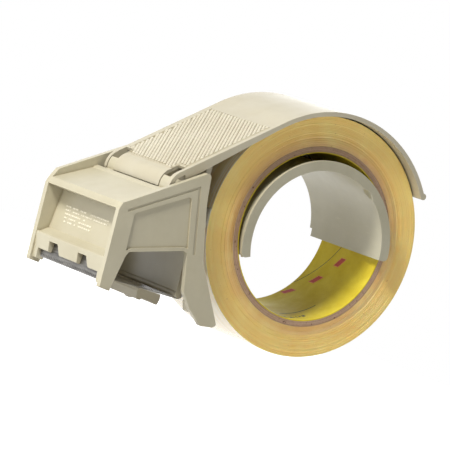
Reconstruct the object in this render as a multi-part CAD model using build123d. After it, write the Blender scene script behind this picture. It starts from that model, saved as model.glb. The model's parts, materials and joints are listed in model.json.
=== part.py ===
from build123d import *
from math import cos, sin, radians, sqrt, acos, atan2, degrees
import os

# Hand-held box-sealing tape dispenser, millimetres, +Z up.
# -X is the cutting head, +X the back of the shroud, +Y the closed (side wall) side.
# Every profile is drawn about the roll's axis; place() moves the finished
# solids so that the origin is the middle of the footprint, on the surface.

# ---- roll ----
TAPE_WIDTH = 48.0
CORE_BORE_R = 38.1
LINER_T = 0.4
CORE_R = 41.0
ROLL_R = 55.0

# ---- frame moulding ----
SHELL_T = 1.5
SHROUD_R = 57.1
GRIP_ANGLE = 132.3
LIP_ANGLE = 38.5
LIP_R = 1.5
SHELL_NEAR_Y = -30.0
WALL_IN_Y = 26.5
WALL_OUT_Y = 28.5
NOSE_R = 8.3
BEAD_H = 0.5
BEAD_W = 1.3
NOSE_START_ANGLE = 196.0
HINGE_X = -74.8
FOOT_NEAR_Y = -3.0
CROSS_WALL_FROM = 17.3
CROSS_WALL_T = 3.0

# ---- hub ----
HUB_X = 0.2
HUB_Z = -3.4
HUB_IN_R = 34.4
HUB_OUT_R = 36.2
HUB_RIM_R = 38.9
HUB_STEP_R = 37.8
HUB_START = 8.0
HUB_END = 206.0
HUB_FLANGE_R = 41.5
HUB_FLANGE_T = 1.8
HUB_FLANGE_START = 14.0
HUB_NEAR_Y = -30.2
HUB_RIM_T = 1.5

# ---- hinge ----
PIN_R = 1.5
PIN_FIT = 0.06
HOOK_IN_Y = 20.4
HOOK_OUT_Y = 26.1
HOOK_R = 8.0
HOOK_END_ANGLE = 156.0
WINDOW_GAP = 0.4
WINDOW_RUN = 5.0

# ---- head ----
HEAD_OUT_Y = 33.5
CHEEK_T = 2.75
CHEEK_IN_Y = HEAD_OUT_Y - CHEEK_T
PANEL_DEPTH = 0.8
FRONT_TOP = (-104.4, -17.2)
FRONT_LIP = (-105.2, -20.2)
TOP_REAR = (-84.4, -5.2)
PANEL_X = -96.6
SHELF_Z = -38.6
BAR_FRONT_X = -102.0
BAR_BACK_X = -98.2
BAR_THICK = 1.8
BAR_TOP_Z = -41.5
BAR_BOTTOM_Z = -49.0
POST_IN_Y = 27.2
BLADE_T = 0.7
BLADE_HALF = 26.7
BLADE_TIP_Z = -52.2
BLADE_TOP_Z = -46.2
TOOTH_PITCH = 1.5
TOOTH_DEPTH = 1.9
NOTCHES = ((18.0, 10.5), (-8.0, -15.5))
NOTCH_TOP_Z = -44.4
NOTCH_SLANT = 3.2
SCREW_HEAD_R = 2.1
SCREW_HEAD_T = 1.2
SCREW_R = 1.1

CHEEK_RECESS = (
    (-97.0, -19.6),
    (-72.7, -3.4),
    (-64.8, -25.6),
    (-67.0, -25.4),
    (-92.5, -34.4),
    (-94.2, -36.4),
)
CHEEK_STEP_LINE = (
    (-101.0, -19.0),
    (-70.2, 2.2),
    (-60.3, -26.8),
    (-61.6, -27.0),
    (-70.8, 0.4),
    (-100.4, -20.0),
)

# ---- tape path ----
WEB_T = 0.3
WEB_GAP = 0.35
WEB_TURN = (-51.3, -47.3)
WEB_END = (-96.8, -50.7)
WEB_TURN_R = 4.0

# ---- derived places ----
GRIP_N = (cos(radians(GRIP_ANGLE)), sin(radians(GRIP_ANGLE)))
GRIP_D = (GRIP_N[1], -GRIP_N[0])
HINGE_Z = (SHROUD_R - NOSE_R - HINGE_X * GRIP_N[0]) / GRIP_N[1]
HALF_TAPE = TAPE_WIDTH / 2
SHROUD_IN_R = SHROUD_R - SHELL_T
LIP_C_R = SHROUD_IN_R + LIP_R - 0.1
FRONT_EDGE_X = FRONT_LIP[0]
BACK_EDGE_X = LIP_C_R * cos(radians(LIP_ANGLE)) + LIP_R
SWEEP_BACK_X = max(BACK_EDGE_X, ROLL_R)
ORIGIN_X = (FRONT_EDGE_X + SWEEP_BACK_X) / 2
ROLL_AXIS_X = -ORIGIN_X
ROLL_AXIS_Z = ROLL_R

os.makedirs("parts", exist_ok=True)


def polar(radius, angle, cx=0.0, cz=0.0):
    """A point at an angle and radius about (cx, cz), as (x, z)."""
    a = radians(angle)
    return (cx + radius * cos(a), cz + radius * sin(a))


def at(point, y=0.0):
    """An (x, z) profile point as a space point on the plane y."""
    return Vector(point[0], y, point[1])


def slab(points, y_from, y_to, radii=None):
    """A flat plate: the closed (x, z) outline from y_from to y_to, with optional corner radii."""
    corners = [at(p, y_from) for p in points]
    if radii is None:
        outline = Polyline(*corners, close=True)
    else:
        outline = FilletPolyline(*corners, radius=radii, close=True)
    return extrude(make_face(outline), amount=y_to - y_from, dir=(0, 1, 0))


def arc(radius, start, end, y, cx=0.0, cz=0.0):
    """An arc in the plane y between two angles."""
    mid = (start + end) / 2
    ends = [at(polar(radius, a, cx, cz), y) for a in (start, mid, end)]
    return ThreePointArc(*ends)


def ring_sector(r_in, r_out, start, end, y_from, y_to, cx=0.0, cz=0.0):
    """A curved bar: the ring between two radii and two angles."""
    def end_line(angle):
        inner = at(polar(r_in, angle, cx, cz), y_from)
        outer = at(polar(r_out, angle, cx, cz), y_from)
        return Line(inner, outer)

    edges = [
        arc(r_out, start, end, y_from, cx, cz),
        end_line(end),
        arc(r_in, end, start, y_from, cx, cz),
        end_line(start),
    ]
    return extrude(make_face(edges), amount=y_to - y_from, dir=(0, 1, 0))


def rod(radius, x, z, y_from, y_to):
    """A round bar along Y."""
    middle = (y_from + y_to) / 2
    return Pos(x, middle, z) * Rot(90, 0, 0) * Cylinder(radius, abs(y_to - y_from))


def tube(r_in, r_out, y_from, y_to, x=0.0, z=0.0):
    """A round tube along Y."""
    return rod(r_out, x, z, y_from, y_to) - rod(r_in, x, z, y_from - 1, y_to + 1)


def block(x_range, y_range, z_range):
    """A box between three ranges."""
    spans = [hi - lo for lo, hi in (x_range, y_range, z_range)]
    centre = [(hi + lo) / 2 for lo, hi in (x_range, y_range, z_range)]
    return Pos(*centre) * Box(*spans)


def grip_point(along, depth):
    """A point on the grip plate: along the slope from the nose, depth below its outer face."""
    reach = SHROUD_R - depth
    start = HINGE_X * GRIP_D[0] + HINGE_Z * GRIP_D[1]
    run = start + along
    return (GRIP_N[0] * reach + GRIP_D[0] * run, GRIP_N[1] * reach + GRIP_D[1] * run)


def shell_edges(y, depth):
    """The nose, grip plate and shroud line, depth below the outer face, nose to lip."""
    nose = NOSE_R - depth
    reach = SHROUD_R - depth
    nose_top = at(polar(nose, GRIP_ANGLE, HINGE_X, HINGE_Z), y)
    shroud_start = at(polar(reach, GRIP_ANGLE), y)
    return [
        arc(nose, NOSE_START_ANGLE, GRIP_ANGLE, y, HINGE_X, HINGE_Z),
        Line(nose_top, shroud_start),
        arc(reach, GRIP_ANGLE, LIP_ANGLE, y),
    ]


def shell_end(depth, which):
    """The line's first or last point."""
    if which == "nose":
        return polar(NOSE_R - depth, NOSE_START_ANGLE, HINGE_X, HINGE_Z)
    return polar(SHROUD_R - depth, LIP_ANGLE)


def side_screw(x, z, face_y, length):
    """A pan-head screw driven along -Y into a face."""
    head = rod(SCREW_HEAD_R, x, z, face_y, face_y + SCREW_HEAD_T)
    head = chamfer(head.edges().filter_by(GeomType.CIRCLE).sort_by(Axis.Y)[-1], 0.35)
    slot = block((x - 1.4, x + 1.4), (face_y + 0.7, face_y + 2), (z - 0.25, z + 0.25))
    cross = block((x - 0.25, x + 0.25), (face_y + 0.7, face_y + 2), (z - 1.4, z + 1.4))
    return head + rod(SCREW_R, x, z, face_y - length, face_y) - slot - cross


# ---------------------------------------------------------------- frame
def grip_shell():
    """Curled nose, sloping grip plate and shroud over the roll, one bent shell."""
    y0 = SHELL_NEAR_Y
    outer = shell_edges(y0, 0.0)
    inner = shell_edges(y0, SHELL_T)
    caps = [
        Line(at(shell_end(0, "nose"), y0), at(shell_end(SHELL_T, "nose"), y0)),
        Line(at(shell_end(0, "lip"), y0), at(shell_end(SHELL_T, "lip"), y0)),
    ]
    shell = extrude(make_face(outer + inner + caps), amount=WALL_IN_Y - y0, dir=(0, 1, 0))
    lip_x, lip_z = polar(LIP_C_R, LIP_ANGLE)
    shell += rod(LIP_R, lip_x, lip_z, y0, WALL_IN_Y)
    # turned-down edge along the open side of the grip plate
    edge = [grip_point(2.0, SHELL_T - 0.1), grip_point(54.0, SHELL_T - 0.1), grip_point(2.0, 4.2)]
    shell += slab(edge, y0, y0 + 1.8)
    # fine raised bead along the same edge, from nose to lip
    bead_ends = [
        Line(at(shell_end(-BEAD_H, "nose"), y0), at(shell_end(0.1, "nose"), y0)),
        Line(at(shell_end(-BEAD_H, "lip"), y0), at(shell_end(0.1, "lip"), y0)),
    ]
    bead = make_face(shell_edges(y0, -BEAD_H) + shell_edges(y0, 0.1) + bead_ends)
    shell += extrude(bead, amount=BEAD_W, dir=(0, 1, 0))
    # stop under the plate for the spring's rear leg
    shell += slab([(-71.7, 7.5), (-69.1, 7.5), (-69.1, 12.8), (-71.7, 10.6)], 2.6, 7.0)
    # ribs inside the nose carry the hinge pin
    for side in (-1, 1):
        rib = rod(NOSE_R - 0.5, HINGE_X, HINGE_Z, side * 17.2, side * 19.6)
        shell += rib
    shell -= rod(PIN_R, HINGE_X, HINGE_Z, -40, 40)
    # windows for the head's two hinge hooks
    for side in (-1, 1):
        y_pair = sorted((side * (HOOK_IN_Y - WINDOW_GAP), side * (HOOK_OUT_Y + WINDOW_GAP)))
        far = grip_point(WINDOW_RUN, -2)
        cut = [
            far,
            grip_point(WINDOW_RUN, NOSE_R + 4),
            (HINGE_X - 20, HINGE_Z - 12),
            (HINGE_X - 20, HINGE_Z + 12),
        ]
        shell -= slab(cut, y_pair[0], y_pair[1])
    return shell


def side_wall():
    """Closed side of the frame, with the round opening that the hub stands in."""
    y0 = WALL_IN_Y
    lip = polar(SHROUD_R, LIP_ANGLE)
    ring = HUB_FLANGE_R + 1.0
    outline = shell_edges(y0, 0.0)
    low = [
        lip,
        polar(ring, HUB_FLANGE_START + 3, HUB_X, HUB_Z),
        polar(ring, HUB_FLANGE_START - 1, HUB_X, HUB_Z),
        (HUB_X, HUB_Z),
        polar(ring, 214, HUB_X, HUB_Z),
        (-45.0, -49.6),
        (-49.5, -53.2),
        (-63.5, -54.0),
        (-66.5, -50.5),
        (-66.5, -14.0),
        polar(NOSE_R, 236, HINGE_X, HINGE_Z),
        shell_end(0, "nose"),
    ]
    outline.append(Polyline(*[at(p, y0) for p in low]))
    wall = extrude(make_face(outline), amount=WALL_OUT_Y - y0, dir=(0, 1, 0))
    wall -= rod(HUB_OUT_R + 0.05, HUB_X, HUB_Z, y0 - 1, WALL_OUT_Y + 1)
    for x, z in hub_screw_places() + foot_screw_places():
        wall -= rod(SCREW_R, x, z, y0 - 1, WALL_OUT_Y + 1)
    return wall


def cross_wall():
    """Transverse wall between the head and the roll; the tape turns under its rolled edge."""
    top = grip_point(CROSS_WALL_FROM, SHELL_T)
    top_rear = grip_point(CROSS_WALL_FROM + CROSS_WALL_T, SHELL_T)
    wall = slab([top, top_rear, (-55.4, -44.6), (-57.6, -44.6)], -26.0, WALL_IN_Y)
    wall += rod(1.5, -56.3, -45.6, -26.0, WALL_IN_Y)
    return wall


def foot_screw_places():
    return [(-59.4, -51.2), (-52.6, -51.0)]


def guide_foot():
    """Short shoe under the tape, fixed to the side wall, with a runner at each end."""
    sole = [
        (-62.0, -49.2),
        (-50.0, -48.6),
        (-49.6, -51.4),
        (-51.0, -52.6),
        (-60.0, -53.0),
        (-61.8, -52.0),
    ]
    shoe = slab(sole, FOOT_NEAR_Y, WALL_IN_Y, 0.6)
    runners = [
        [(-62.4, -50.0), (-59.0, -50.0), (-59.0, -54.2), (-61.6, -54.2)],
        [(-53.0, -50.0), (-49.6, -50.0), (-50.0, -53.6), (-52.4, -53.6)],
    ]
    for outline in runners:
        shoe += slab(outline, FOOT_NEAR_Y, WALL_IN_Y, 0.8)
    for x, z in foot_screw_places():
        shoe -= rod(SCREW_R, x, z, WALL_IN_Y - 8, WALL_IN_Y + 1)
    return shoe


def hub_screw_places():
    middle = (HUB_OUT_R + HUB_FLANGE_R) / 2
    return [polar(middle, a, HUB_X, HUB_Z) for a in (30, 107, 184)]


def on_rim(point):
    """Whether a point lies on the rim's outer circle."""
    reach = sqrt((point.X - HUB_X) ** 2 + (point.Z - HUB_Z) ** 2)
    return abs(reach - HUB_RIM_R) < 0.1


def roll_hub():
    """C-shaped spring hub: the core slides over it and its beaded rim keeps the roll on."""
    hub = ring_sector(HUB_IN_R, HUB_OUT_R, HUB_START, HUB_END, HUB_NEAR_Y, WALL_OUT_Y, HUB_X, HUB_Z)
    step_y = HUB_NEAR_Y + HUB_RIM_T
    rim = ring_sector(HUB_IN_R, HUB_RIM_R, HUB_START, HUB_END, HUB_NEAR_Y, step_y, HUB_X, HUB_Z)
    corners = [e for e in rim.edges().filter_by(Axis.Y) if on_rim(e.center())]
    rim = fillet(corners, 2.2)
    hub += rim
    hub += ring_sector(HUB_IN_R, HUB_STEP_R, HUB_START, HUB_END, step_y, step_y + 1.4, HUB_X, HUB_Z)
    flange_end = WALL_OUT_Y + HUB_FLANGE_T
    hub += ring_sector(
        HUB_IN_R, HUB_FLANGE_R, HUB_FLANGE_START, HUB_END, WALL_OUT_Y, flange_end, HUB_X, HUB_Z)
    for x, z in hub_screw_places():
        hub -= rod(SCREW_R, x, z, WALL_OUT_Y - 1, flange_end + 1)
    # shallow thumb recess inside the rim
    recess = Pos(*at(polar(HUB_IN_R - 5.2, 62, HUB_X, HUB_Z), HUB_NEAR_Y)) * Sphere(6.2)
    return hub - recess


def hub_screws():
    face = WALL_OUT_Y + HUB_FLANGE_T
    return Compound([side_screw(x, z, face, HUB_FLANGE_T + 2) for x, z in hub_screw_places()])


def foot_screws():
    return Compound([side_screw(x, z, WALL_OUT_Y, 8) for x, z in foot_screw_places()])


def hinge_pin():
    pin = rod(PIN_R, HINGE_X, HINGE_Z, -27.6, HOOK_OUT_Y)
    ends = pin.edges().filter_by(GeomType.CIRCLE)
    return chamfer(ends, 0.3)


def pin_clip():
    """Push-on clip at the pin's open end."""
    clip = tube(PIN_R, 2.9, -27.2, -26.5, HINGE_X, HINGE_Z)
    return clip - block((HINGE_X - 0.6, HINGE_X + 0.6), (-28, -26), (HINGE_Z - 5, HINGE_Z))


def tape_web():
    """Tape from the roll, down behind the cross wall, under its edge and out to the teeth."""
    reach = sqrt(WEB_TURN[0] ** 2 + WEB_TURN[1] ** 2)
    contact_r = ROLL_R + WEB_GAP
    bearing = degrees(atan2(WEB_TURN[1], WEB_TURN[0])) % 360
    lift = bearing - degrees(acos(contact_r / reach))
    start = polar(contact_r, lift)
    path = FilletPolyline(at(start), at(WEB_TURN), at(WEB_END), radius=WEB_TURN_R)
    run = Vector(WEB_TURN[0] - start[0], 0, WEB_TURN[1] - start[1]).normalized()
    across = Vector(run.Z, 0, -run.X) * (WEB_T / 2)
    near = at(start, -HALF_TAPE)
    far = at(start, HALF_TAPE)
    corners = [near + across, near - across, far - across, far + across]
    section = Polyline(*corners, close=True)
    return sweep(make_face(section), path=path)


# ---------------------------------------------------------------- head
def cheek_outline(side):
    """Corners and corner radii of a side plate; the far one stands higher above the top plate."""
    if side < 0:
        top_edge = [FRONT_TOP, (-67.5, 9.5)]
        radii = [0.8, 1.6]
    else:
        top_edge = [FRONT_TOP, (-102.6, -12.8), (-68.3, 11.6)]
        radii = [0.4, 2.0, 2.4]
    rear_post = [
        (-64.2, -4.0),
        (-55.0, -28.5),
        (-36.6, -52.2),
        (-38.0, -53.8),
        (-44.4, -55.0),
        (-52.5, -50.0),
    ]
    radii += [30.0, 8.0, 1.0, 1.0, 1.0, 2.0]
    opening = [
        (-58.6, -43.9),
        (-64.3, -27.6),
        (-66.4, -26.9),
        (-92.4, -36.0),
        (-93.4, -38.0),
    ]
    radii += [3.0, 0.8, 0.8, 1.0, 1.0]
    front_leg = [(-94.8, -55.0), (-100.1, -55.0), FRONT_LIP]
    radii += [0.4, 0.4, 0.4]
    return top_edge + rear_post + opening + front_leg, radii


def cheek(side):
    """One side plate of the head: outer step line, recessed panel, opening below it."""
    points, radii = cheek_outline(side)
    y_in = side * CHEEK_IN_Y
    y_out = side * HEAD_OUT_Y
    plate = slab(points, y_in, y_out, radii)
    pocket_radii = [2.0, 1.6, 0.5, 0.9, 0.9, 0.5]
    plate -= slab(CHEEK_RECESS, y_out - side * PANEL_DEPTH, y_out + side, pocket_radii)
    # fine step line that frames the panel
    plate -= slab(CHEEK_STEP_LINE, y_out - side * 0.35, y_out + side, 0.3)
    if side < 0:
        lug = [(-53.0, -46.6), (-46.2, -46.6), (-44.0, -51.6), (-50.6, -51.2)]
        plate += slab(lug, -CHEEK_IN_Y, -25.4, 0.8)
    return plate


def head_housing():
    """Top plate, recessed front panel, shelf, notched bar, corner posts and hinge hooks."""
    half = CHEEK_IN_Y
    top_profile = [
        FRONT_TOP,
        TOP_REAR,
        (TOP_REAR[0] + 1.1, TOP_REAR[1] - 2.0),
        (PANEL_X, -14.8),
        (-98.6, -17.0),
        (-101.5, -20.6),
        FRONT_LIP,
    ]
    panel_profile = [
        (PANEL_X, -14.0),
        (PANEL_X + 1.5, -13.2),
        (PANEL_X + 1.5, SHELF_Z - 1.2),
        (BAR_BACK_X, BAR_TOP_Z - 1.0),
        (BAR_FRONT_X + 1.2, BAR_TOP_Z - 0.4),
        (PANEL_X, SHELF_Z),
    ]
    bar_profile = [
        (BAR_FRONT_X, BAR_TOP_Z),
        (BAR_BACK_X, BAR_TOP_Z),
        (BAR_BACK_X, BAR_BOTTOM_Z),
        (BAR_BACK_X - BAR_THICK, BAR_BOTTOM_Z),
    ]
    post_profile = [
        (BAR_FRONT_X + 0.9, -43.0),
        (-95.6, -43.0),
        (-95.6, -53.4),
        (BAR_BACK_X - 1.0, -53.4),
        (BAR_BACK_X - BAR_THICK - 0.1, BAR_BOTTOM_Z),
    ]
    body = slab(top_profile, -half, half) + slab(panel_profile, -half, half)
    body += slab(bar_profile, -half, half, [0.9, 0.3, 0.3, 0.6])
    for side in (-1, 1):
        ends = sorted((side * POST_IN_Y, side * half))
        body += slab(post_profile, ends[0], ends[1], 0.4)
    for left, right in NOTCHES:
        corners = [
            (BAR_FRONT_X - 2, left, NOTCH_TOP_Z),
            (BAR_FRONT_X - 2, right, NOTCH_TOP_Z),
            (BAR_FRONT_X - 2, right - NOTCH_SLANT, BAR_BOTTOM_Z - 1),
            (BAR_FRONT_X - 2, left, BAR_BOTTOM_Z - 1),
        ]
        notch = make_face(Polyline(*corners, close=True))
        body -= extrude(notch, amount=BAR_BACK_X - BAR_FRONT_X + 2.5, dir=(1, 0, 0))
    # low ridge along the top plate's rear edge
    ridge = [
        TOP_REAR,
        (TOP_REAR[0] - 2.2, TOP_REAR[1] - 1.32),
        (TOP_REAR[0] - 1.8, TOP_REAR[1] - 0.5),
        (TOP_REAR[0] - 0.4, TOP_REAR[1] + 0.4),
    ]
    body += slab(ridge, -half, half)
    for side in (-1, 1):
        body += hinge_hook(side)
    # ledge that the spring's front leg presses on
    body += block((PANEL_X + 1.4, PANEL_X + 5.5), (-11.0, -6.0), (-24.8, -23.2))
    for y in blade_screw_places():
        body -= Pos(BAR_BACK_X, y, -47.0) * Rot(0, 90, 0) * Cylinder(SCREW_R, 3.6)
    return body


def hinge_hook(side):
    """Arm from the top plate's rear edge that wraps the hinge pin."""
    ends = sorted((side * HOOK_IN_Y, side * HOOK_OUT_Y))
    eye = rod(HOOK_R, HINGE_X, HINGE_Z, *ends)
    mouth = [
        (HINGE_X, HINGE_Z),
        polar(16, HOOK_END_ANGLE, HINGE_X, HINGE_Z),
        (HINGE_X, HINGE_Z + 20),
        (HINGE_X + 20, HINGE_Z + 20),
        (HINGE_X + 20, HINGE_Z - 3.4),
        (HINGE_X, HINGE_Z - 3.4),
    ]
    eye -= slab(mouth, *ends)
    eye += rod(3.6, HINGE_X, HINGE_Z, *ends)
    arm = [
        (TOP_REAR[0] - 0.6, TOP_REAR[1] - 0.7),
        (HINGE_X - 7.2, HINGE_Z - 2.0),
        (HINGE_X - 3, HINGE_Z - 6.8),
        (TOP_REAR[0] + 0.6, TOP_REAR[1] - 3.6),
    ]
    return eye + slab(arm, *ends) - rod(PIN_R + PIN_FIT, HINGE_X, HINGE_Z, -40, 40)


def cutting_blade():
    """Serrated steel strip with two locating tabs that show in the bar's notches."""
    count = round(2 * BLADE_HALF / TOOTH_PITCH)
    pitch = 2 * BLADE_HALF / count
    valley = BLADE_TIP_Z + TOOTH_DEPTH
    points = []
    for i in range(count):
        left = -BLADE_HALF + i * pitch
        points.append((left, valley))
        points.append((left + pitch / 2, BLADE_TIP_Z))
    points.append((BLADE_HALF, valley))
    top = [(BLADE_HALF, BLADE_TOP_Z)]
    for left, right in NOTCHES:
        top += [(left, BLADE_TOP_Z), (left, NOTCH_TOP_Z + 0.8)]
        top += [(right, NOTCH_TOP_Z + 0.8), (right, BLADE_TOP_Z)]
    top.append((-BLADE_HALF, BLADE_TOP_Z))
    outline = [(BAR_BACK_X, y, z) for y, z in points + top]
    blade = extrude(make_face(Polyline(*outline, close=True)), amount=BLADE_T, dir=(1, 0, 0))
    for y in blade_screw_places():
        blade -= Pos(BAR_BACK_X, y, -47.0) * Rot(0, 90, 0) * Cylinder(SCREW_R, 6)
    return blade


def blade_screw_places():
    return (-23.0, 1.0, 23.0)


def blade_retainer():
    """Plate that clamps the blade against the bar from behind."""
    front = BAR_BACK_X + BLADE_T
    plate = block((front, front + 1.8), (-BLADE_HALF, BLADE_HALF), (-49.2, -44.0))
    for y in blade_screw_places():
        plate -= Pos(front + 1, y, -47.0) * Rot(0, 90, 0) * Cylinder(SCREW_R, 6)
    return plate


def blade_screws():
    back = BAR_BACK_X + BLADE_T + 1.8
    screws = []
    for y in blade_screw_places():
        head = Pos(back + 0.6, y, -47.0) * Rot(0, 90, 0) * Cylinder(SCREW_HEAD_R, 1.2)
        slot = Pos(back + 1.1, y, -47.0) * Box(1.0, 2.6, 0.5)
        shank = Pos(back - 2.1, y, -47.0) * Rot(0, 90, 0) * Cylinder(SCREW_R, 4.2)
        screws.append(head + shank - slot)
    return Compound(screws)


def head_spring():
    """Torsion spring on the pin: coil, a leg under the grip plate, a leg on the head's ledge."""
    wire = 0.6
    coil_r = 4.2
    turns = 6
    pitch = 1.6
    y_start = -turns * pitch / 2
    helix = Helix(pitch=pitch, height=turns * pitch, radius=coil_r)
    section = Plane(origin=helix @ 0, z_dir=helix % 0) * Circle(wire)
    coil = sweep(section, path=helix, is_frenet=True)
    coil = Pos(HINGE_X, -y_start, HINGE_Z) * Rot(90, 0, 0) * coil
    start = Vector(HINGE_X + coil_r, -y_start, HINGE_Z)
    front = Vector(PANEL_X + 3.6, -8.5, -22.4)
    lower = Vector(HINGE_X - 1.4, y_start, HINGE_Z - coil_r)
    legs = []
    for a, b in ((start, start + Vector(0.4, 0, 9.0)), (lower, front)):
        direction = (b - a)
        leg = Pos(0, 0, direction.length / 2) * Cylinder(wire, direction.length)
        legs.append(Plane(origin=a, z_dir=direction) * leg)
    return coil + legs[0] + legs[1]


# ---------------------------------------------------------------- roll
def tape_core():
    return tube(CORE_BORE_R + LINER_T, CORE_R, -HALF_TAPE, HALF_TAPE)


def core_liner():
    return tube(CORE_BORE_R, CORE_BORE_R + LINER_T, -HALF_TAPE, HALF_TAPE)


def tape_winding():
    return tube(CORE_R, ROLL_R, -HALF_TAPE, HALF_TAPE)


def place(shape):
    """Move a finished shape into the row frame."""
    return Pos(ROLL_AXIS_X, 0, ROLL_AXIS_Z) * shape


def write(name, shape):
    export_step(place(shape), "parts/" + name + ".step")


NODES = {
    "grip_shell": grip_shell,
    "side_wall": side_wall,
    "cross_wall": cross_wall,
    "guide_foot": guide_foot,
    "foot_screws": foot_screws,
    "roll_hub": roll_hub,
    "hub_screws": hub_screws,
    "hinge_pin": hinge_pin,
    "pin_clip": pin_clip,
    "tape_web": tape_web,
    "near_cheek": lambda: cheek(-1),
    "far_cheek": lambda: cheek(1),
    "head_housing": head_housing,
    "cutting_blade": cutting_blade,
    "blade_retainer": blade_retainer,
    "blade_screws": blade_screws,
    "head_spring": head_spring,
    "tape_core": tape_core,
    "core_liner": core_liner,
    "tape_winding": tape_winding,
}

for node, make in NODES.items():
    write(node, make())
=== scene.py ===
import json
import random
from math import acos, atan2, cos, pi, radians, sin

import bpy
from mathutils import Matrix, Vector


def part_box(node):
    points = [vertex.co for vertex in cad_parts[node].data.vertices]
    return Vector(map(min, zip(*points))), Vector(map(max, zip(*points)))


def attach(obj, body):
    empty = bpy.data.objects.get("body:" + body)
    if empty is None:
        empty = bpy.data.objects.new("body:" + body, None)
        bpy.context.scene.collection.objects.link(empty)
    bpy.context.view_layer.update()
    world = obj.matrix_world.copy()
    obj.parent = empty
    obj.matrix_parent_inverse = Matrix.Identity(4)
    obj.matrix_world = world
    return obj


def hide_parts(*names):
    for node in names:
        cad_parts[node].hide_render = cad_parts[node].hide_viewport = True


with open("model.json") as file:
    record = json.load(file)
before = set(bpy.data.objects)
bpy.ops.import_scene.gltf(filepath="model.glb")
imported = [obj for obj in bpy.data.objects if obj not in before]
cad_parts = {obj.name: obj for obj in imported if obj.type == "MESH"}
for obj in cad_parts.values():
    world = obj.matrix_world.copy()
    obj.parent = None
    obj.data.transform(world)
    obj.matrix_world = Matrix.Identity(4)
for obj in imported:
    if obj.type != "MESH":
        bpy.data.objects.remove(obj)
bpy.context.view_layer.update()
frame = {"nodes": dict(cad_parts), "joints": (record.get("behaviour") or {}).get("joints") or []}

# Looks of a hand-held packing tape dispenser: moulded beige frame and pivoting
# cutting head, C-shaped hub, and a roll of amber tape with a printed core.

MM = 0.001

# ---------------------------------------------------------------- places
joints = {j["name"]: j for j in frame["joints"]}
AXIS = Vector(joints["roll_spin"]["pos_m"])
LINER_THICK = 0.4 * MM
ROLL_R = AXIS.z
SHROUD_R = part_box("side_wall")[1].z - AXIS.z
CORE_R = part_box("tape_core")[1].z - AXIS.z
BORE_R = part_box("core_liner")[1].z - AXIS.z - LINER_THICK
HALF_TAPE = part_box("tape_core")[1].y
GRIP_ANGLE = radians(132.3)
GRIP_UP = Vector((cos(GRIP_ANGLE), 0, sin(GRIP_ANGLE)))
GRIP_ALONG = Vector((GRIP_UP.z, 0, -GRIP_UP.x))
ACROSS = Vector((0, 1, 0))
PANEL_X = AXIS.x - 96.6 * MM

# ---------------------------------------------------------------- soft edges
MOULDED_EDGE = 0.35 * MM
HEAD_EDGE = 0.3 * MM
PLATE_EDGE = 0.2 * MM
CORE_EDGE = 0.25 * MM
EDGE_ANGLE = radians(32)

# ---------------------------------------------------------------- the roll, mm and degrees
WOUND_TURNS = 44
WOUND_SEGMENTS = 192
LAYER_WANDER = 0.16
TURN_SHARE = 0.85
SEAM_SLOPE = -0.45
BAR_SLOPE = -0.45
BAR_ANGLE_STEP = 17.6
BAR_Y_STEP = 8.1
BAR_START = (-8.2, 3.0)
SECOND_ROW_TURN = 120
SECOND_ROW_Y = -20.0
BAR_SIZE = (6.4, 3.4)
HALO_SIZE = (7.4, 4.4)
DASH_START = -96.0
DASH_END = -64.0
DASH_Y = -20.4
DASH_SLOPE = 0.14
DASH_GAP = 1.1

# ---------------------------------------------------------------- the grip plate, mm
STUD_PITCH = 1.72
STUD_BASE = 0.78
STUD_TOP = 0.50
STUD_HEIGHT = 0.42
STUD_SUNK = 0.08
STUDS_IN_BAND = 4
BAND_WIDTH = 7.1
ROW_PITCH = 1.66
BAND_GAP = 0.14
STUD_MIDDLE = -30
STUD_REACH = 30
STUD_Y = (-25.0, 23.6)
STUD_BACK = -7.4
STUD_FRONT = -54.6
STUD_FRONT_BESIDE_WINDOW = -50.4
STUD_WINDOW_Y = 19.0
GROUND_OUTLINE = (
    (-7.2, -25.4), (-7.2, 24.0), (-50.6, 24.0), (-50.6, 19.1),
    (-54.8, 19.1), (-54.8, -19.1), (-50.6, -19.1), (-50.6, -25.4),
)
BORDER_OUTLINE = (
    (-7.0, -25.6), (-7.0, 24.2), (-50.8, 24.2), (-50.8, 19.3),
    (-55.0, 19.3), (-55.0, -19.3), (-50.8, -19.3), (-50.8, -25.6),
)
BORDER_HALF = 0.32
BORDER_HEIGHT = 0.3

# ---------------------------------------------------------------- the head's panel, mm
DASH_ROWS = (
    (-27.0, 23.0, -14.5),
    (-28.7, 22.4, -15.5),
    (-30.4, 21.8, 4.0),
    (-32.1, 21.2, -2.5),
    (-33.8, 20.5, -3.0),
)
MARK_SUNK = 0.1
MARK_PROUD = 0.22
MARK_INSET = 0.12
MARK_HALF = 0.42
MARK_GAP = 0.45

# ---------------------------------------------------------------- the pulled-off tape, mm
FILM_TURN = (-51.3, -47.3)
FILM_END_Z = -50.7
FILM_OFF_ROLL = 0.3
FILM_COLUMNS = 24
FILM_RIPPLE = 0.10
FILM_THICK = 0.06


# ---------------------------------------------------------------- node helpers
def srgb(red, green, blue):
    """A display colour from 0 to 255 as a linear colour."""
    def linear(value):
        value /= 255
        return value / 12.92 if value <= 0.04045 else ((value + 0.055) / 1.055) ** 2.4
    return (linear(red), linear(green), linear(blue), 1.0)


def connect(tree, socket, value):
    """Sets a socket to a value, or links another socket to it."""
    if isinstance(value, bpy.types.NodeSocket):
        tree.links.new(value, socket)
    else:
        socket.default_value = value


def node(tree, kind, settings=None, **inputs):
    """A shader node with its properties and its inputs, either values or sockets."""
    made = tree.nodes.new("ShaderNode" + kind)
    for key, value in (settings or {}).items():
        setattr(made, key, value)
    for key, value in inputs.items():
        connect(tree, made.inputs[key.replace("_", " ")], value)
    return made


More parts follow.
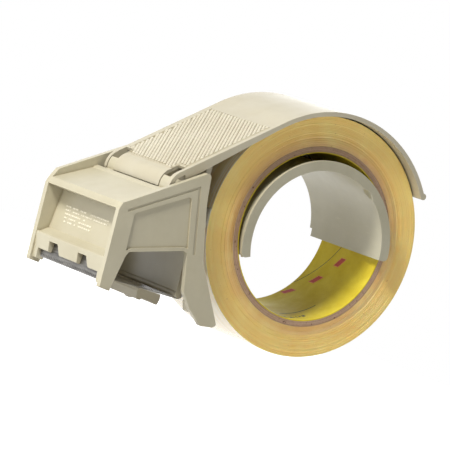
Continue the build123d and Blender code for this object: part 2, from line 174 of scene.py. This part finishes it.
def calc(tree, operation, first, second=0.0):
    made = node(tree, "Math", {"operation": operation})
    connect(tree, made.inputs[0], first)
    connect(tree, made.inputs[1], second)
    return made.outputs[0]


def add(tree, first, second):
    return calc(tree, "ADD", first, second)


def times(tree, first, second):
    return calc(tree, "MULTIPLY", first, second)


def noise(tree, vector, scale, detail=3.0, roughness=0.5):
    made = node(tree, "TexNoise", Vector=vector, Scale=scale, Detail=detail, Roughness=roughness)
    return made.outputs[0]


def span(tree, value, low, high, out_low=0.0, out_high=1.0):
    """Maps low..high to out_low..out_high, clamped."""
    made = node(tree, "MapRange", Value=value)
    limits = {"From Min": low, "From Max": high, "To Min": out_low, "To Max": out_high}
    for name, number in limits.items():
        made.inputs[name].default_value = number
    return made.outputs[0]


def tint(tree, factor, first, second):
    """One colour over another by a factor."""
    made = node(tree, "Mix", {"data_type": "RGBA"})
    connect(tree, made.inputs[0], factor)
    connect(tree, made.inputs[6], first)
    connect(tree, made.inputs[7], second)
    return made.outputs[2]


def blend(tree, pattern, first, second):
    """Two colours mixed by the middle of a noise pattern."""
    return tint(tree, span(tree, pattern, 0.3, 0.7), first, second)


def stain(tree, under, over, pattern, low, high, amount):
    """A colour laid over another where a pattern rises from low to high, up to an amount."""
    return tint(tree, span(tree, pattern, low, high, 0.0, amount), under, over)


def bump(tree, height, strength, distance, normal=None):
    made = node(tree, "Bump", Height=height, Strength=strength, Distance=distance)
    if normal is not None:
        tree.links.new(normal, made.inputs["Normal"])
    return made.outputs[0]


def coordinates(tree):
    return node(tree, "TexCoord").outputs["Object"]


def stretched(tree, vector, scale):
    return node(tree, "Mapping", Vector=vector, Scale=scale).outputs[0]


def vector_of(tree, x, y, z):
    made = node(tree, "CombineXYZ")
    for socket, value in zip(made.inputs, (x, y, z)):
        connect(tree, socket, value)
    return made.outputs[0]


def roll_coordinates(tree):
    """Radius and angle about the roll's axis, and place along it, as sockets."""
    made = node(tree, "SeparateXYZ", Vector=coordinates(tree))
    x = calc(tree, "SUBTRACT", made.outputs[0], AXIS.x)
    z = calc(tree, "SUBTRACT", made.outputs[2], AXIS.z)
    squares = add(tree, times(tree, x, x), times(tree, z, z))
    return calc(tree, "SQRT", squares), calc(tree, "ARCTAN2", z, x), made.outputs[1]


def edge_mask(tree, radius):
    """Near 1 on edges rounder than the radius, 0 on flat faces."""
    rounded = node(tree, "Bevel", {"samples": 4}, Radius=radius).outputs[0]
    plain = node(tree, "NewGeometry").outputs["Normal"]
    dot = node(tree, "VectorMath", {"operation": "DOT_PRODUCT"})
    tree.links.new(rounded, dot.inputs[0])
    tree.links.new(plain, dot.inputs[1])
    return span(tree, dot.outputs["Value"], 0.995, 0.86)


def crevice_mask(tree, distance):
    """Near 1 in corners and slots, where painted shade is laid."""
    open_sky = node(tree, "AmbientOcclusion", {"samples": 6}, Distance=distance).outputs["AO"]
    return span(tree, open_sky, 0.85, 0.2)


def strength_by_ray(tree, lighting, reflected, seen):
    """A white surface's strength: as light on the object, in its gloss, and to the camera."""
    ray = node(tree, "LightPath").outputs
    gloss = times(tree, ray["Is Glossy Ray"], reflected - lighting)
    direct = times(tree, ray["Is Camera Ray"], seen - lighting)
    return add(tree, add(tree, gloss, direct), lighting)


def material(name, **constants):
    """A new material: its tree and its Principled shader, with the constants on its sockets."""
    made = bpy.data.materials.new(name)
    made.use_nodes = True
    tree = made.node_tree
    shader = tree.nodes["Principled BSDF"]
    for key, value in constants.items():
        shader.inputs[key.replace("_", " ")].default_value = value
    return made, tree, shader


def paint(tree, shader, colour, roughness, normal):
    tree.links.new(colour, shader.inputs["Base Color"])
    tree.links.new(roughness, shader.inputs["Roughness"])
    tree.links.new(normal, shader.inputs["Normal"])


# ---------------------------------------------------------------- colours
# painted shade, laid in corners and slots where shade falls
CREVICE_SHADE = srgb(122, 106, 74)
SCUFF = srgb(236, 231, 214)
# painted shade for the metal's crevices
METAL_CREVICE_SHADE = srgb(52, 48, 42)
KRAFT_PALE = srgb(196, 164, 138)
KRAFT_DEEP = srgb(158, 124, 100)
KRAFT_FIBRE = srgb(206, 178, 152)
KRAFT_FLECK = srgb(96, 62, 48)
LINER_PALE = srgb(234, 214, 64)
LINER_DEEP = srgb(218, 194, 50)
LINER_FIBRE = srgb(190, 160, 60)
TAPE_INNER = srgb(246, 206, 118)
TAPE_OUTER = srgb(255, 224, 132)
TAPE_BY_CORE = srgb(208, 162, 118)
TAPE_BAND = srgb(240, 188, 92)
TAPE_CLOUD = srgb(255, 238, 156)
TAPE_RING = srgb(214, 158, 74)
TAPE_DUST = srgb(168, 104, 56)
TURN_AMBER = srgb(244, 220, 162)
TURN_PALE = srgb(252, 238, 204)
TURN_BUBBLE = srgb(252, 240, 204)
# painted highlight for the outer turn's edges
TURN_PAINTED_HIGHLIGHT = srgb(255, 254, 250)
FILM_PALE = srgb(255, 253, 248)
FILM_DEEP = srgb(246, 241, 228)
FLOOR_PALE = srgb(198, 198, 198)
FLOOR_DEEP = srgb(194, 194, 193)
WHITE = (1, 1, 1, 1)


# ---------------------------------------------------------------- materials
def moulded_plastic(name, pale, deep, edge):
    """Glossy moulded styrene: soft tone patches, flow lines, fine grain, handling wear, and
    painted shade darkening its corners and slots.
    """
    made, tree, shader = material(name, IOR=1.5, Coat_Weight=0.12, Coat_Roughness=0.25)
    place = coordinates(tree)
    patches = noise(tree, place, 38, 4, 0.6)
    flow = noise(tree, stretched(tree, place, (60, 22, 60)), 1.0, 5, 0.65)
    grains = noise(tree, place, 1900, 2)
    scuffs = noise(tree, stretched(tree, place, (900, 90, 700)), 1.0, 3, 0.7)
    scuffed = span(tree, scuffs, 0.66, 0.78)
    worn = times(tree, edge_mask(tree, 0.7 * MM), 0.45)
    # painted shade: the plastic darkens in corners and slots by ambient occlusion
    crevice_shade = times(tree, crevice_mask(tree, 2.2 * MM), span(tree, patches, 0.2, 0.6, 0.35, 0.75))
    colour = blend(tree, patches, pale, deep)
    colour = stain(tree, colour, edge, flow, 0.45, 0.75, 0.35)
    colour = tint(tree, worn, colour, edge)
    colour = tint(tree, crevice_shade, colour, CREVICE_SHADE)
    colour = tint(tree, times(tree, scuffed, 0.25), colour, SCUFF)
    roughness = add(tree, span(tree, patches, 0.3, 0.7, 0.30, 0.42), times(tree, scuffed, 0.18))
    relief = bump(tree, flow, 0.25, 0.25 * MM)
    relief = bump(tree, grains, 0.10, 0.08 * MM, relief)
    paint(tree, shader, colour, roughness, relief)
    return made


def metal(name, light, dark, grain_scale, roughness_low, roughness_high):
    """Brushed or plated metal, streaked along its grain, with painted shade in its crevices."""
    made, tree, shader = material(name, Metallic=1.0)
    place = coordinates(tree)
    streaks = noise(tree, stretched(tree, place, grain_scale), 1.0, 4, 0.6)
    spots = noise(tree, place, 420, 3)
    colour = blend(tree, streaks, dark, light)
    colour = stain(tree, colour, dark, spots, 0.6, 0.8, 0.5)
    # painted shade: darker in crevices, where shade falls
    colour = tint(tree, crevice_mask(tree, 1.0 * MM), colour, METAL_CREVICE_SHADE)
    roughness = span(tree, streaks, 0.25, 0.75, roughness_low, roughness_high)
    paint(tree, shader, colour, roughness, bump(tree, streaks, 0.3, 0.05 * MM))
    return made


def cardboard():
    """Kraft core: plies on the ends, fibres and small dark flecks."""
    made, tree, shader = material("cardboard_kraft", Specular_IOR_Level=0.25)
    place = coordinates(tree)
    radius, angle, _ = roll_coordinates(tree)
    ply_place = vector_of(tree, times(tree, radius, 2600), times(tree, angle, 1.2), 0.0)
    plies = noise(tree, ply_place, 1.0, 2)
    fibres = noise(tree, place, 900, 4, 0.7)
    flecks = span(tree, noise(tree, place, 700, 2), 0.66, 0.74)
    colour = tint(tree, span(tree, plies, 0.35, 0.65), KRAFT_PALE, KRAFT_DEEP)
    colour = stain(tree, colour, KRAFT_FIBRE, fibres, 0.35, 0.7, 0.5)
    colour = tint(tree, flecks, colour, KRAFT_FLECK)
    roughness = span(tree, fibres, 0.3, 0.7, 0.7, 0.92)
    paint(tree, shader, colour, roughness, bump(tree, add(tree, plies, fibres), 0.6, 0.12 * MM))
    return made


def yellow_liner():
    """Printed yellow paper inside the core, faintly mottled."""
    made, tree, shader = material("liner_yellow_paper", Specular_IOR_Level=0.2)
    place = coordinates(tree)
    mottle = noise(tree, place, 120, 5, 0.6)
    fibres = noise(tree, place, 1500, 3)
    colour = blend(tree, mottle, LINER_PALE, LINER_DEEP)
    colour = stain(tree, colour, LINER_FIBRE, fibres, 0.55, 0.75, 0.3)
    roughness = span(tree, mottle, 0.3, 0.7, 0.42, 0.6)
    paint(tree, shader, colour, roughness, bump(tree, fibres, 0.25, 0.05 * MM))
    return made


def print_ink(name, strong, worn):
    """Printing ink that has soaked unevenly into paper."""
    made, tree, shader = material(name)
    coverage = noise(tree, coordinates(tree), 1400, 3, 0.6)
    colour = tint(tree, span(tree, coverage, 0.5, 0.75), strong, worn)
    roughness = span(tree, coverage, 0.3, 0.7, 0.45, 0.65)
    paint(tree, shader, colour, roughness, bump(tree, coverage, 0.2, 0.03 * MM))
    return made


def tape_side():
    """Edges of the wound layers: fine rings, soft bands, trapped air and dust."""
    made, tree, shader = material(
        "tape_layer_edges", Specular_IOR_Level=0.5, Coat_Weight=0.3, Coat_Roughness=0.3,
        Subsurface_Weight=0.3, Subsurface_Radius=(1.0, 0.55, 0.2), Subsurface_Scale=2.0 * MM)
    place = coordinates(tree)
    radius, angle, _ = roll_coordinates(tree)
    drift = times(tree, noise(tree, place, 60, 2), 0.5 * MM)
    ring_place = add(tree, radius, drift)
    slow_turn = times(tree, angle, 0.35)
    fine_place = vector_of(tree, times(tree, ring_place, 5200), slow_turn, 0.0)
    broad_place = vector_of(tree, times(tree, ring_place, 520), slow_turn, 3.0)
    fine = noise(tree, fine_place, 1.0, 2)
    broad = noise(tree, broad_place, 1.0, 3)
    clouds = noise(tree, place, 55, 4, 0.6)
    dust = span(tree, noise(tree, place, 900, 2), 0.72, 0.80)
    by_core = span(tree, radius, CORE_R, CORE_R + 5.5 * MM, 0.75, 0.0)
    colour = tint(tree, span(tree, radius, CORE_R, ROLL_R), TAPE_INNER, TAPE_OUTER)
    colour = tint(tree, by_core, colour, TAPE_BY_CORE)
    colour = stain(tree, colour, TAPE_BAND, broad, 0.4, 0.72, 0.45)
    colour = stain(tree, colour, TAPE_CLOUD, clouds, 0.45, 0.75, 0.55)
    colour = stain(tree, colour, TAPE_RING, fine, 0.5, 0.75, 0.25)
    colour = tint(tree, times(tree, dust, 0.55), colour, TAPE_DUST)
    roughness = span(tree, clouds, 0.3, 0.7, 0.32, 0.5)
    relief = bump(tree, fine, 0.35, 0.12 * MM)
    relief = bump(tree, broad, 0.25, 0.3 * MM, relief)
    paint(tree, shader, colour, roughness, relief)
    return made


def tape_face():
    """Outer turn of glossy film over the amber roll, with whitish streaks near its edges painted
    on as highlights.
    """
    made, tree, shader = material(
        "tape_outer_face", Coat_Weight=1.0, Coat_Roughness=0.05, Specular_IOR_Level=0.7,
        Subsurface_Weight=0.2, Subsurface_Radius=(1.0, 0.6, 0.25), Subsurface_Scale=2.0 * MM)
    _, angle, along = roll_coordinates(tree)
    around = times(tree, angle, 1.6)
    pulled_place = vector_of(tree, around, times(tree, along, 420), 0.0)
    streak_place = vector_of(tree, around, times(tree, along, 900), 7.0)
    pulled = noise(tree, pulled_place, 1.0, 4, 0.6)
    streaks = noise(tree, streak_place, 1.0, 2)
    bubbles = noise(tree, coordinates(tree), 260, 3)
    from_middle = calc(tree, "ABSOLUTE", along)
    near_edge = span(tree, from_middle, HALF_TAPE - 7 * MM, HALF_TAPE, 0.25, 1.0)
    # painted highlight: whitish streaks near the film's edges stand in for reflections
    white = times(tree, span(tree, streaks, 0.44, 0.58), near_edge)
    colour = tint(tree, span(tree, pulled, 0.35, 0.7), TURN_AMBER, TURN_PALE)
    colour = stain(tree, colour, TURN_BUBBLE, bubbles, 0.6, 0.75, 0.6)
    colour = tint(tree, times(tree, white, 0.85), colour, TURN_PAINTED_HIGHLIGHT)
    roughness = span(tree, pulled, 0.3, 0.7, 0.10, 0.24)
    paint(tree, shader, colour, roughness, bump(tree, pulled, 0.3, 0.15 * MM))
    return made


def tape_film():
    """A single thickness of film: hazy, whitish, faintly wrinkled along its length."""
    made, tree, shader = material(
        "tape_single_film", Alpha=0.72, Coat_Weight=0.8, Coat_Roughness=0.08,
        Specular_IOR_Level=0.6)
    place = coordinates(tree)
    pulled = noise(tree, stretched(tree, place, (40, 420, 40)), 1.0, 4, 0.6)
    haze = noise(tree, place, 160, 3)
    colour = blend(tree, haze, FILM_PALE, FILM_DEEP)
    roughness = span(tree, pulled, 0.3, 0.7, 0.14, 0.32)
    paint(tree, shader, colour, roughness, bump(tree, pulled, 0.12, 0.10 * MM))
    return made


def studio_floor():
    """Pale paper sweep; what the camera sees of it is lifted to the surroundings' white."""
    made, tree, shader = material(
        "studio_floor_white", Specular_IOR_Level=0.1, Emission_Color=WHITE)
    grain = noise(tree, coordinates(tree), 6, 4)
    colour = blend(tree, grain, FLOOR_PALE, FLOOR_DEEP)
    roughness = span(tree, grain, 0.3, 0.7, 0.75, 0.85)
    paint(tree, shader, colour, roughness, bump(tree, grain, 0.02, 1.0 * MM))
    strength = strength_by_ray(tree, 0.36, 0.9, 0.96)
    tree.links.new(strength, shader.inputs["Emission Strength"])
    return made


FRAME_PLASTIC = moulded_plastic(
    "frame_beige_plastic", srgb(188, 181, 160), srgb(181, 172, 147), srgb(200, 193, 170))
# lighter copy of the frame plastic on the studs: painted light on their tops
STUD_LIT_PLASTIC = moulded_plastic(
    "frame_plastic_lit_studs", srgb(204, 197, 176), srgb(198, 189, 165), srgb(218, 212, 192))
# darker copy of the frame plastic: painted shade in the grooves between the studs
GROOVE_SHADE_PLASTIC = moulded_plastic(
    "frame_plastic_groove_shade", srgb(150, 140, 112), srgb(134, 122, 92), srgb(160, 150, 122))
HEAD_PLASTIC = moulded_plastic(
    "head_beige_plastic", srgb(188, 181, 157), srgb(181, 173, 147), srgb(202, 195, 168))
# lighter copy of the head plastic on the raised dashes: painted highlight
MARK_LIT_PLASTIC = moulded_plastic(
    "head_plastic_lit_marks", srgb(232, 226, 206), srgb(222, 214, 190), srgb(240, 236, 220))
HUB_PLASTIC = moulded_plastic(
    "hub_milky_plastic", srgb(176, 171, 148), srgb(166, 160, 136), srgb(194, 189, 168))
BLADE_STEEL = metal(
    "blade_dark_steel", srgb(150, 148, 144), srgb(96, 94, 92), (900, 120, 900), 0.30, 0.50)
ZINC = metal(
    "zinc_hardware", srgb(196, 194, 188), srgb(150, 147, 140), (500, 500, 500), 0.22, 0.42)
KRAFT = cardboard()
LINER = yellow_liner()
TAPE_SIDE = tape_side()
TAPE_FACE = tape_face()
FILM = tape_film()
RED_INK = print_ink("ink_red", srgb(176, 44, 30), srgb(200, 84, 50))
RED_HALO = print_ink("ink_red_halo", srgb(226, 150, 84), srgb(224, 180, 80))
DARK_INK = print_ink("ink_dark_olive", srgb(70, 62, 20), srgb(120, 104, 34))


# ---------------------------------------------------------------- CAD nodes
def finish_node(name, look, bevel=0.0):
    """Gives a CAD node its material and, where it is moulded or stamped, softened edges."""
    obj = frame["nodes"][name]
    obj.data.materials.clear()
    obj.data.materials.append(look)
    if bevel:
        weld = obj.modifiers.new("join_faces", "WELD")
        weld.merge_threshold = 0.002 * MM
        soft = obj.modifiers.new("soft_edges", "BEVEL")
        soft.width = bevel
        soft.segments = 3
        soft.limit_method = "ANGLE"
        soft.angle_limit = EDGE_ANGLE
        shade = obj.modifiers.new("even_shading", "WEIGHTED_NORMAL")
        shade.weight = 60


for name in ("grip_shell", "side_wall", "cross_wall", "guide_foot"):
    finish_node(name, FRAME_PLASTIC, MOULDED_EDGE)
for name in ("near_cheek", "far_cheek", "head_housing"):
    finish_node(name, HEAD_PLASTIC, HEAD_EDGE)
finish_node("roll_hub", HUB_PLASTIC, HEAD_EDGE)
finish_node("cutting_blade", BLADE_STEEL)
finish_node("blade_retainer", ZINC, PLATE_EDGE)
for name in ("blade_screws", "foot_screws", "hub_screws", "hinge_pin", "pin_clip", "head_spring"):
    finish_node(name, ZINC)
finish_node("tape_core", KRAFT, CORE_EDGE)
finish_node("core_liner", LINER)


# ---------------------------------------------------------------- mesh helpers
def add_piece(name, points, faces, looks, body, smooth=False, looks_of=None):
    """A mesh piece that rides on a CAD body."""
    mesh = bpy.data.meshes.new(name)
    mesh.from_pydata([tuple(p) for p in points], [], faces)
    for look in looks:
        mesh.materials.append(look)
    if looks_of is not None:
        mesh.polygons.foreach_set("material_index", looks_of)
    if smooth:
        mesh.polygons.foreach_set("use_smooth", [True] * len(faces))
    mesh.update()
    obj = bpy.data.objects.new(name, mesh)
    bpy.context.scene.collection.objects.link(obj)
    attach(obj, body)
    return obj


def about_axis(radius, angle, y):
    """A point at a radius and an angle about the roll's axis."""
    return Vector((AXIS.x + radius * cos(angle), y, AXIS.z + radius * sin(angle)))


def on_grip(along, y, height):
    """A point on the grip plate: along the slope from the shroud, across, above the plate."""
    return AXIS + GRIP_UP * (SHROUD_R + height) + GRIP_ALONG * along + ACROSS * y


def block_faces(start):
    """The six faces of a block whose eight corners start at that index, bottom four first."""
    a, b, c, d, e, f, g, h = range(start, start + 8)
    return [(d, c, b, a), (e, f, g, h), (a, b, f, e), (b, c, g, f), (c, d, h, g), (d, a, e, h)]


# ---------------------------------------------------------------- the roll
def wound_outline():
    """The winding's section as (radius, y): near side, crowned outer turn, far side."""
    inner = CORE_R + 0.05 * MM
    step = (ROLL_R - inner) / WOUND_TURNS
    near, far = [], []
    for k in range(WOUND_TURNS):
        shift = random.uniform(0.0, LAYER_WANDER) * MM
        for r in (inner + k * step, inner + (k + TURN_SHARE) * step):
            near.append((r, -HALF_TAPE + shift))
            far.append((r, HALF_TAPE - random.uniform(0.0, LAYER_WANDER) * MM))
    crown = [(ROLL_R - 0.02 * MM, -HALF_TAPE + 0.2 * MM), (ROLL_R, -HALF_TAPE + 0.8 * MM)]
    crown += [(ROLL_R, HALF_TAPE * share) for share in (-0.6, 0.0, 0.6)]
    crown += [(r, -y) for r, y in reversed(crown[:2])]
    crown_range = range(len(near) - 1, len(near) + len(crown))
    return near + crown + list(reversed(far)), crown_range


def wound_tape():
    """The winding: side faces stepped where layers wandered, and a softly rounded outer turn."""
    random.seed(11)
    outline, crown_range = wound_outline()
    count = len(outline)
    points, faces, looks_of = [], [], []
    for i in range(WOUND_SEGMENTS):
        points += [about_axis(r, 2 * pi * i / WOUND_SEGMENTS, y) for r, y in outline]
    for i in range(WOUND_SEGMENTS):
        here, ahead = i * count, ((i + 1) % WOUND_SEGMENTS) * count
        for k in range(count):
            after = (k + 1) % count
            faces.append((here + k, here + after, ahead + after, ahead + k))
            looks_of.append(1 if k in crown_range else 0)
    looks = [TAPE_SIDE, TAPE_FACE]
    piece = add_piece(
        "wound_tape", points, faces, looks, "tape_roll", True, looks_of)
    piece.data.set_sharp_from_angle(angle=radians(50))
    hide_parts("tape_winding")


def liner_print(name, shapes, look, depth):
    """Closed strips of ink on the liner's inner face.

    Each shape is its middle angle, middle y, length in degrees, height, and rise in y in
    millimetres for each degree.
    """
    points, faces = [], []
    inside, outside = BORE_R - depth, BORE_R + 0.02 * MM
    for centre, y, length, height, slope in shapes:
        steps = max(2, round(length / 2.5))
        first = len(points)
        for i in range(steps + 1):
            angle = radians(centre + (i / steps - 0.5) * length)
            middle = y + (i / steps - 0.5) * length * slope * MM
            for r, side in ((inside, -1), (inside, 1), (outside, 1), (outside, -1)):
                points.append(about_axis(r, angle, middle + side * height / 2))
        for i in range(steps):
            a = first + 4 * i
            for k in range(4):
                faces.append((a + k, a + (k + 1) % 4, a + 4 + (k + 1) % 4, a + 4 + k))
        faces.append((first + 3, first + 2, first + 1, first))
        last = first + 4 * steps
        faces.append((last, last + 1, last + 2, last + 3))
    add_piece(name, points, faces, [look], "tape_roll")


def bar_places():
    """Angle and y of the red bars, in two slanting rows that stay clear of the liner's ends."""
    first_angle, first_y = BAR_START
    rows = [
        (first_angle - BAR_ANGLE_STEP * k, (first_y + BAR_Y_STEP * k) * MM)
        for k in range(-3, 3)
    ]
    second_angle = rows[0][0] + SECOND_ROW_TURN
    rows += [
        (second_angle + BAR_ANGLE_STEP * k, (SECOND_ROW_Y + BAR_Y_STEP * k) * MM)
        for k in range(-1, 4)
    ]
    return [(a, y) for a, y in rows if abs(y) < HALF_TAPE - 2 * MM]


def small_dashes():
    """A broken dark line near the liner's open end."""
    random.seed(23)
    dashes, angle = [], DASH_START
    while angle < DASH_END:
        length = random.choice((1.2, 1.8, 2.6))
        height = random.choice((1.5, 2.1)) * MM
        y = (DASH_Y + (angle - DASH_START) * DASH_SLOPE) * MM
        dashes.append((angle + length / 2, y, length, height, DASH_SLOPE))
        angle += length + DASH_GAP
    return dashes


def liner_prints():
    """Seam of the liner's wrap, generic red bars beside it and dark lines."""
    seam = [(18.0, -0.2 * MM, 104.0, 0.45 * MM, SEAM_SLOPE)]
    liner_print("liner_seam", seam, DARK_INK, 0.03 * MM)
    halos = [(a, y, HALO_SIZE[0], HALO_SIZE[1] * MM, BAR_SLOPE) for a, y in bar_places()]
    liner_print("liner_bar_halos", halos, RED_HALO, 0.04 * MM)
    bars = [(a, y, BAR_SIZE[0], BAR_SIZE[1] * MM, BAR_SLOPE) for a, y in bar_places()]
    liner_print("liner_bars", bars, RED_INK, 0.06 * MM)
    line = [(-61.5, -8.5 * MM, 30.0, 0.45 * MM, 0.03)]
    liner_print("liner_dark_line", line, DARK_INK, 0.04 * MM)
    liner_print("liner_dark_dashes", small_dashes(), DARK_INK, 0.04 * MM)


# ---------------------------------------------------------------- the grip plate
def stud_rows():
    """Distances of the stud rows across their run, with a gap at half of a band and its end."""
    for k in range(-8, 9):
        for j in range(STUDS_IN_BAND):
            gap = BAND_GAP if j > 1 else 0.0
            yield (k * BAND_WIDTH + j * ROW_PITCH + gap) * MM


def in_stud_field(along, y):
    """Whether a stud belongs on the plate there: the hinge windows shorten the field."""
    beside_window = abs(y) >= STUD_WINDOW_Y * MM
    front = STUD_FRONT_BESIDE_WINDOW if beside_window else STUD_FRONT
    if not front * MM < along < STUD_BACK * MM:
        return False
    return STUD_Y[0] * MM < y < STUD_Y[1] * MM


def grip_texture():
    """Fine raised studs in diagonal bands parted by narrow grooves."""
    levels = ((STUD_BASE * MM, -STUD_SUNK * MM), (STUD_TOP * MM, STUD_HEIGHT * MM))
    run = (GRIP_ALONG + ACROSS).normalized()
    beside = (GRIP_ALONG - ACROSS).normalized()
    field_middle = GRIP_ALONG * (STUD_MIDDLE * MM)
    points, faces = [], []
    for across in stud_rows():
        for i in range(-STUD_REACH, STUD_REACH + 1):
            middle = field_middle + run * (i * STUD_PITCH * MM) + beside * across
            along, y = middle.dot(GRIP_ALONG), middle.y
            if not in_stud_field(along, y):
                continue
            first = len(points)
            for half, level in levels:
                for s, w in ((-1, -1), (1, -1), (1, 1), (-1, 1)):
                    offset = run * (s * half) + beside * (w * half)
                    points.append(on_grip(along + offset.dot(GRIP_ALONG), y + offset.y, level))
            faces += block_faces(first)
    # studs in the lighter copy of the plastic, painted light
    add_piece("grip_texture", points, faces, [STUD_LIT_PLASTIC], "frame")


def grip_ground():
    """Thin darker field under the studs: painted shade in the grooves between them."""
    count = len(GROUND_OUTLINE)
    points = []
    for level in (-0.05 * MM, 0.04 * MM):
        points += [on_grip(u * MM, v * MM, level) for u, v in GROUND_OUTLINE]
    faces = [tuple(range(count)), tuple(range(2 * count - 1, count - 1, -1))]
    for k in range(count):
        after = (k + 1) % count
        faces.append((k, k + count, after + count, after))
    add_piece("grip_ground", points, faces, [GROOVE_SHADE_PLASTIC], "frame")


def grip_border():
    """Low bead round the textured field."""
    points, faces = [], []
    next_corners = BORDER_OUTLINE[1:] + BORDER_OUTLINE[:1]
    for (u0, v0), (u1, v1) in zip(BORDER_OUTLINE, next_corners):
        run = Vector((u1 - u0, v1 - v0)) * MM
        side = Vector((-run.y, run.x)).normalized() * (BORDER_HALF * MM)
        ahead = run.normalized() * (BORDER_HALF * MM)
        start, end = Vector((u0, v0)) * MM - ahead, Vector((u1, v1)) * MM + ahead
        first = len(points)
        for width, level in ((1.0, -0.1 * MM), (0.45, BORDER_HEIGHT * MM)):
            for corner, sign in ((start, -1), (end, -1), (end, 1), (start, 1)):
                spot = corner + side * (sign * width)
                points.append(on_grip(spot.x, spot.y, level))
        faces += block_faces(first)
    add_piece("grip_border", points, faces, [FRAME_PLASTIC], "frame")


# ---------------------------------------------------------------- the head's panel
def panel_dashes():
    """Rows of short raised dashes moulded on the recessed front panel, lighter than the panel as
    painted highlight.
    """
    random.seed(5)
    levels = ((0.0, PANEL_X + MARK_SUNK * MM), (MARK_INSET, PANEL_X - MARK_PROUD * MM))
    points, faces = [], []
    for z, start, end in DASH_ROWS:
        y = start
        while y > end:
            length = random.choice((0.8, 1.1, 1.5, 2.1))
            if random.random() > 0.14:
                first = len(points)
                for inset, x in levels:
                    for dy, dz in ((-1, -1), (1, -1), (1, 1), (-1, 1)):
                        spot_y = y - length / 2 + dy * (length / 2 - inset)
                        spot_z = z + dz * (MARK_HALF - inset)
                        points.append(Vector((x, spot_y * MM, AXIS.z + spot_z * MM)))
                faces += block_faces(first)
            y -= length + MARK_GAP
    add_piece("panel_dashes", points, faces, [MARK_LIT_PLASTIC], "head")


# ---------------------------------------------------------------- the pulled-off tape
def film_path():
    """The film's run as (x, z) about the roll's axis: off the roll, round the wall, outwards."""
    turn = Vector(FILM_TURN) * MM
    end = Vector((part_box("tape_web")[0].x - AXIS.x, FILM_END_Z * MM))
    contact = ROLL_R + FILM_OFF_ROLL * MM
    bearing = atan2(turn.y, turn.x) - acos(contact / turn.length)
    start = Vector((cos(bearing), sin(bearing))) * contact
    path = [start + (turn - start) * (i / 12) for i in range(11)]
    bend_in, bend_out = path[-1], turn + (end - turn) * 0.08
    for i in range(1, 8):
        t = i / 8
        path.append(bend_in * (1 - t) ** 2 + turn * (2 * t * (1 - t)) + bend_out * t ** 2)
    path += [bend_out + (end - bend_out) * (i / 14) for i in range(15)]
    return path


def pulled_tape():
    """Film from the roll, down behind the cross wall, round its lower edge and out."""
    path = film_path()
    points, faces = [], []
    for i, spot in enumerate(path):
        share = i / (len(path) - 1)
        loose = FILM_RIPPLE * MM * sin(pi * share)
        for k in range(FILM_COLUMNS + 1):
            y = HALF_TAPE * (2 * k / FILM_COLUMNS - 1) * 0.998
            ripple = loose * (sin(k * 1.7 + share * 9) + 0.6 * sin(k * 0.8 - share * 5))
            points.append(Vector((AXIS.x + spot.x, y, AXIS.z + spot.y + ripple)))
    wide = FILM_COLUMNS + 1
    for i in range(len(path) - 1):
        for k in range(FILM_COLUMNS):
            a = i * wide + k
            faces.append((a, a + 1, a + wide + 1, a + wide))
    piece = add_piece("pulled_tape", points, faces, [FILM], "frame", True)
    thick = piece.modifiers.new("film_thickness", "SOLIDIFY")
    thick.thickness = FILM_THICK * MM
    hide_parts("tape_web")


wound_tape()
liner_prints()
grip_ground()
grip_texture()
grip_border()
panel_dashes()
pulled_tape()


# ---------------------------------------------------------------- studio
def studio():
    """Pale floor and white surroundings."""
    half = 12.0
    low = -0.2 * MM
    corners = [(-half, -half, low), (half, -half, low), (half, half, low), (-half, half, low)]
    mesh = bpy.data.meshes.new("studio_floor")
    mesh.from_pydata(corners, [], [(0, 1, 2, 3)])
    mesh.materials.append(studio_floor())
    floor = bpy.data.objects.new("studio_floor", mesh)
    bpy.context.scene.collection.objects.link(floor)
    world = bpy.data.worlds.new("studio_white")
    world.use_nodes = True
    tree = world.node_tree
    seen = tree.nodes["Background"]
    seen.inputs["Color"].default_value = WHITE
    tree.links.new(strength_by_ray(tree, 0.08, 0.9, 1.0), seen.inputs["Strength"])
    bpy.context.scene.world = world


def area_light(name, place, size, power, colour):
    """A soft light at a place from the dispenser's middle, facing it."""
    data = bpy.data.lights.new(name, "AREA")
    data.shape = "RECTANGLE"
    data.size, data.size_y = size
    data.energy = power
    data.color = colour
    light = bpy.data.objects.new(name, data)
    bpy.context.scene.collection.objects.link(light)
    away = Vector(place)
    light.location = Vector((0, 0, 50 * MM)) + away
    light.rotation_mode = "QUATERNION"
    light.rotation_quaternion = (-away).to_track_quat("-Z", "Y")
    light.visible_camera = False


def camera():
    """Camera beside and slightly ahead of the dispenser, level with it and rolled."""
    azimuth, elevation, roll = radians(-32.82), radians(-0.81), radians(21.36)
    distance = 2.064
    target = Vector((3.6 * MM, 12.9 * MM, 46.1 * MM))
    flat = cos(elevation)
    back = Vector((sin(azimuth) * flat, -cos(azimuth) * flat, sin(elevation)))
    level = Vector((cos(azimuth), sin(azimuth), 0))
    upright = back.cross(level)
    right = level * cos(roll) + upright * sin(roll)
    up = upright * cos(roll) - level * sin(roll)
    data = bpy.data.cameras.new("view")
    data.lens = 365.9
    data.sensor_width = 36
    data.clip_start, data.clip_end = 0.05, 20
    made = bpy.data.objects.new("view", data)
    bpy.context.scene.collection.objects.link(made)
    pose = Matrix((right, up, back)).transposed().to_4x4()
    pose.translation = target + back * distance
    made.matrix_world = pose
    bpy.context.scene.camera = made


studio()
# small and grazing, so that overhangs throw their shadow on the roll's near side
area_light("upper_left_front", (-0.77, -0.215, 0.60), (0.24, 0.24), 11.2, (1.0, 0.99, 0.97))
area_light("key_left", (-0.97, -0.02, 0.16), (0.4, 0.4), 1.6, (1.0, 0.985, 0.95))
area_light("rear_soft", (0.75, 0.55, 0.80), (0.8, 0.8), 7.5, (0.94, 0.98, 1.0))
area_light("white_backdrop", (0.85, 1.35, 0.05), (2.0, 1.2), 9.0, (1.0, 1.0, 1.0))
camera()
bpy.context.scene.view_settings.view_transform = "Standard"
